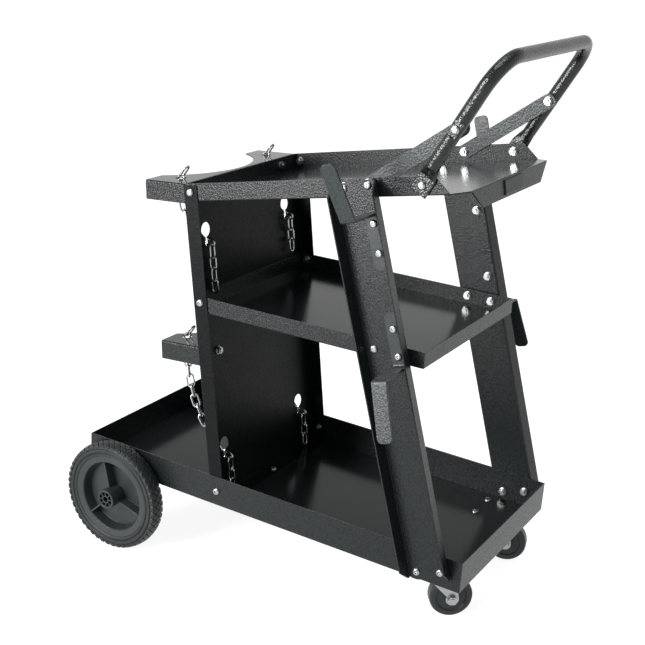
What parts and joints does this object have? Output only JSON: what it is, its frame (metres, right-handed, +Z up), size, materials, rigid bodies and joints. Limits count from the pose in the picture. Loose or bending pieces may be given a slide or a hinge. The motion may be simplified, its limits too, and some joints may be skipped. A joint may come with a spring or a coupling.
{
  "type": "welding cart",
  "caption": "Three-tier sheet-metal welding cart with a sloped top tray, tank brackets with chains, cable hooks, tube handle, large rear wheels and swivel front casters.",
  "frame": {"origin": "on the floor, on the cart's centre plane, half way between the rear tyres' back and the handle's front", "axes": "+X towards the handle and casters, +Y to the cart's left, +Z up"},
  "size_m": [0.7308, 0.4784, 0.8068],
  "materials": {
    "hammertone_black": "hammertone powder coat, satin",
    "handle_black": "glossy hammered powder coat",
    "plate_blank": "satin grey, blank",
    "zinc": "bright zinc plate",
    "chain_zinc": "bright zinc plate",
    "axle_steel": "plain turned steel",
    "tyre": "moulded black rubber",
    "rim_plastic": "moulded grey-black plastic",
    "bush_plastic": "moulded nylon",
    "caster_rubber": "moulded hard black rubber"
  },
  "bodies": {
    "frame": {"bottom_tray": "hammertone_black", "middle_shelf": "hammertone_black", "top_tray": "hammertone_black", "rear_panel": "hammertone_black", "name_plate": "plate_blank", "upper_tank_bracket": "hammertone_black", "lower_tank_bracket": "hammertone_black", "handle_tube": "handle_black", "spacer_washers": "zinc", "rear_axle": "axle_steel", "axle_washers": "zinc", "axle_push_nuts": "zinc", "caster_kingpins": "zinc", "caster_balls": "axle_steel", "cable_hook_upper_right": "hammertone_black", "cable_hook_lower_right": "hammertone_black", "cable_hook_upper_left": "hammertone_black", "cable_hook_lower_left": "hammertone_black", "right_leg": "hammertone_black", "right_handle_brace": "hammertone_black", "right_axle_bracket": "hammertone_black", "right_caster_plate": "zinc", "upper_right_chain": "chain_zinc", "lower_right_chain": "chain_zinc", "left_leg": "hammertone_black", "left_handle_brace": "hammertone_black", "left_axle_bracket": "hammertone_black", "left_caster_plate": "zinc", "upper_left_chain": "chain_zinc", "lower_left_chain": "chain_zinc", "leg_bolts": "zinc", "leg_nuts": "zinc", "panel_bolts": "zinc", "panel_nuts": "zinc", "tank_bracket_bolts": "zinc", "tank_bracket_nuts": "zinc", "handle_bolts": "zinc", "handle_nuts": "zinc", "undercarriage_bolts": "zinc", "undercarriage_nuts": "zinc"},
    "right_rear_wheel": {"right_tyre": "tyre", "right_wheel_rim": "rim_plastic", "right_hub_bush": "bush_plastic", "right_hub_cap": "rim_plastic"},
    "right_caster_swivel": {"right_caster_fork": "zinc", "right_caster_axle": "zinc"},
    "right_caster_roller": {"right_caster_wheel": "caster_rubber", "right_caster_sleeve": "axle_steel"},
    "upper_right_tail": {"upper_right_chain_tail": "chain_zinc"},
    "lower_right_tail": {"lower_right_chain_tail": "chain_zinc"},
    "left_rear_wheel": {"left_tyre": "tyre", "left_wheel_rim": "rim_plastic", "left_hub_bush": "bush_plastic", "left_hub_cap": "rim_plastic"},
    "left_caster_swivel": {"left_caster_fork": "zinc", "left_caster_axle": "zinc"},
    "left_caster_roller": {"left_caster_wheel": "caster_rubber", "left_caster_sleeve": "axle_steel"},
    "upper_left_tail": {"upper_left_chain_tail": "chain_zinc"},
    "lower_left_tail": {"lower_left_chain_tail": "chain_zinc"}
  },
  "joints": [
    {"name": "right_wheel_spin", "type": "hinge", "parent": "frame", "child": "right_rear_wheel", "pos_m": [-0.276, -0.1695, 0.0889], "axis": [0, 1, 0], "continuous": true},
    {"name": "right_caster_swivel", "type": "hinge", "parent": "frame", "child": "right_caster_swivel", "pos_m": [0.26578, -0.102, 0.07674], "axis": [0.0854, 0, 0.9963], "continuous": true},
    {"name": "right_caster_spin", "type": "hinge", "parent": "right_caster_swivel", "child": "right_caster_roller", "pos_m": [0.2762, -0.09092, 0.03218], "axis": [-0.6134, 0.788, 0.0526], "continuous": true},
    {"name": "upper_right_tail_swing", "type": "hinge", "parent": "frame", "child": "upper_right_tail", "pos_m": [-0.11575, -0.107, 0.50382], "axis": [0, -1, 0], "range_deg": [0, 60]},
    {"name": "lower_right_tail_swing", "type": "hinge", "parent": "frame", "child": "lower_right_tail", "pos_m": [-0.09409, -0.107, 0.16882], "axis": [0, -1, 0], "range_deg": [0, 60]},
    {"name": "left_wheel_spin", "type": "hinge", "parent": "frame", "child": "left_rear_wheel", "pos_m": [-0.276, 0.1695, 0.0889], "axis": [0, 1, 0], "continuous": true},
    {"name": "left_caster_swivel", "type": "hinge", "parent": "frame", "child": "left_caster_swivel", "pos_m": [0.26578, 0.102, 0.07674], "axis": [0.0854, 0, 0.9963], "continuous": true},
    {"name": "left_caster_spin", "type": "hinge", "parent": "left_caster_swivel", "child": "left_caster_roller", "pos_m": [0.27939, 0.10666, 0.03191], "axis": [-0.2579, 0.9659, 0.0221], "continuous": true},
    {"name": "upper_left_tail_swing", "type": "hinge", "parent": "frame", "child": "upper_left_tail", "pos_m": [-0.11575, 0.107, 0.50382], "axis": [0, -1, 0], "range_deg": [0, 60]},
    {"name": "lower_left_tail_swing", "type": "hinge", "parent": "frame", "child": "lower_left_tail", "pos_m": [-0.09409, 0.107, 0.16882], "axis": [0, -1, 0], "range_deg": [0, 60]}
  ]
}
